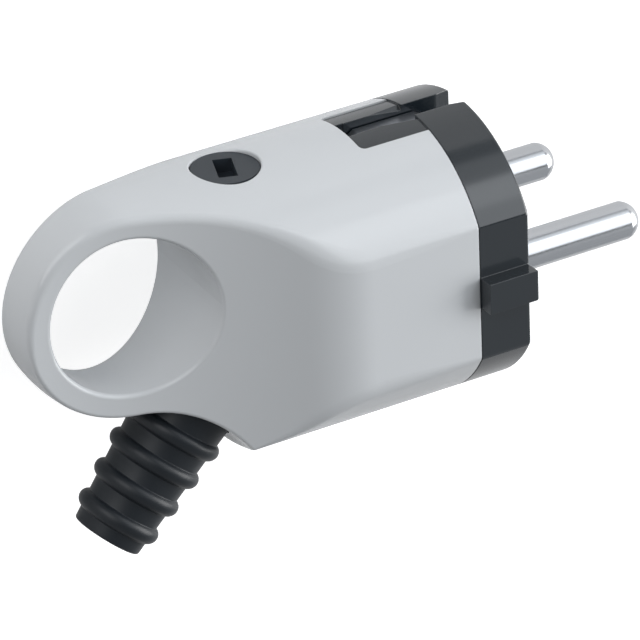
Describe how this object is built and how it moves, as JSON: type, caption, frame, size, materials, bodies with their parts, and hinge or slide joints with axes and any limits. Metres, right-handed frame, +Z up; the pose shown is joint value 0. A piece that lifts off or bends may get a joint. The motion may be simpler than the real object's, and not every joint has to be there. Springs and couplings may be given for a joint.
{
  "type": "angled mains plug",
  "caption": "Earthed mains plug with an angled cable outlet, a finger ring for pulling it out and a ribbed bend relief boot.",
  "frame": {"origin": "middle of the flat contact face, on the line between the contact pins", "axes": "+X out along the contact pins, +Y to the edge that carries the locking screw, +Z up through the upper flat side, as the plug lies on its side"},
  "size_m": [0.0803, 0.0472, 0.0356],
  "materials": {
    "housing_plastic": "smooth, glossy, pale cool grey",
    "carrier_plastic": "smooth, glossy, anthracite",
    "plated_brass": "bright nickel plating",
    "zinc_steel": "bright zinc",
    "fibre_plate": "matt pressed fibre",
    "bow_metal": "nickel plated spring strip",
    "dark_screw": "satin dark grey",
    "insert_brass": "turned brass",
    "boot_rubber": "satin black rubber"
  },
  "bodies": {
    "root": {"housing": "housing_plastic", "pin_carrier": "carrier_plastic", "contact_pin_left": "plated_brass", "contact_pin_right": "plated_brass", "terminal_screw_left": "zinc_steel", "terminal_screw_right": "zinc_steel", "retaining_plate": "fibre_plate", "earth_bow": "bow_metal", "earth_washer": "zinc_steel", "earth_screw": "zinc_steel", "earth_nut": "zinc_steel", "locking_screw": "dark_screw", "captive_ring": "zinc_steel", "locking_insert": "insert_brass", "boot": "boot_rubber", "cable_clamp": "carrier_plastic", "clamp_screw_left": "zinc_steel", "clamp_screw_right": "zinc_steel", "clamp_nut_left": "zinc_steel", "clamp_nut_right": "zinc_steel"}
  },
  "joints": []
}
